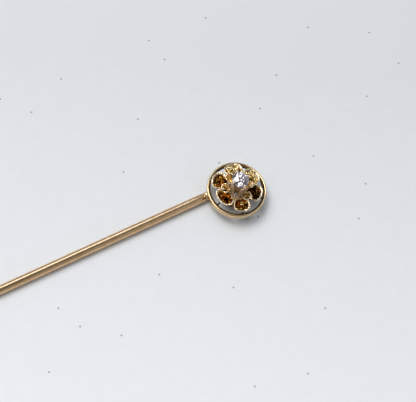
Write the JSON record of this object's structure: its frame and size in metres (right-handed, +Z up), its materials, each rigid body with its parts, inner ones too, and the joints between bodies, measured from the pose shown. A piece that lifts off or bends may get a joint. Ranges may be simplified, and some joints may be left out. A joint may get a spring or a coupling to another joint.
{
  "type": "stick pin",
  "caption": "Flower-headed stick pin: strip ring around cupped petals, a claw-set round stone on top, and a long straight pointed stem.",
  "frame": {"origin": "on the stem's axis where its clear length begins, 1.1 mm out from the ring", "axes": "+X along the stem towards the point, +Z up through the flower's face, the pin lying on its back"},
  "size_m": [0.0635, 0.0079, 0.0052],
  "materials": {
    "stem_gold": "polished, lightly worn",
    "ring_gold": "polished, lightly worn",
    "petal_gold": "stippled inside with bright rims",
    "seat_gold": "matt",
    "claw_gold": "polished",
    "solder": "flowed solder",
    "stone": "facet cut"
  },
  "bodies": {
    "root": {"claw_1": "claw_gold", "claw_2": "claw_gold", "claw_3": "claw_gold", "claw_4": "claw_gold", "collet_ring": "claw_gold", "diamond": "stone", "halo_ring": "ring_gold", "inner_petal_1": "petal_gold", "inner_petal_2": "petal_gold", "inner_petal_3": "petal_gold", "inner_petal_4": "petal_gold", "inner_petal_5": "petal_gold", "inner_petal_6": "petal_gold", "outer_petal_1": "petal_gold", "outer_petal_2": "petal_gold", "outer_petal_3": "petal_gold", "outer_petal_4": "petal_gold", "outer_petal_5": "petal_gold", "outer_petal_6": "petal_gold", "petal_solder": "solder", "ring_lining": "ring_gold", "rosette_seat": "seat_gold", "stem": "stem_gold", "stem_solder": "solder"}
  },
  "joints": []
}
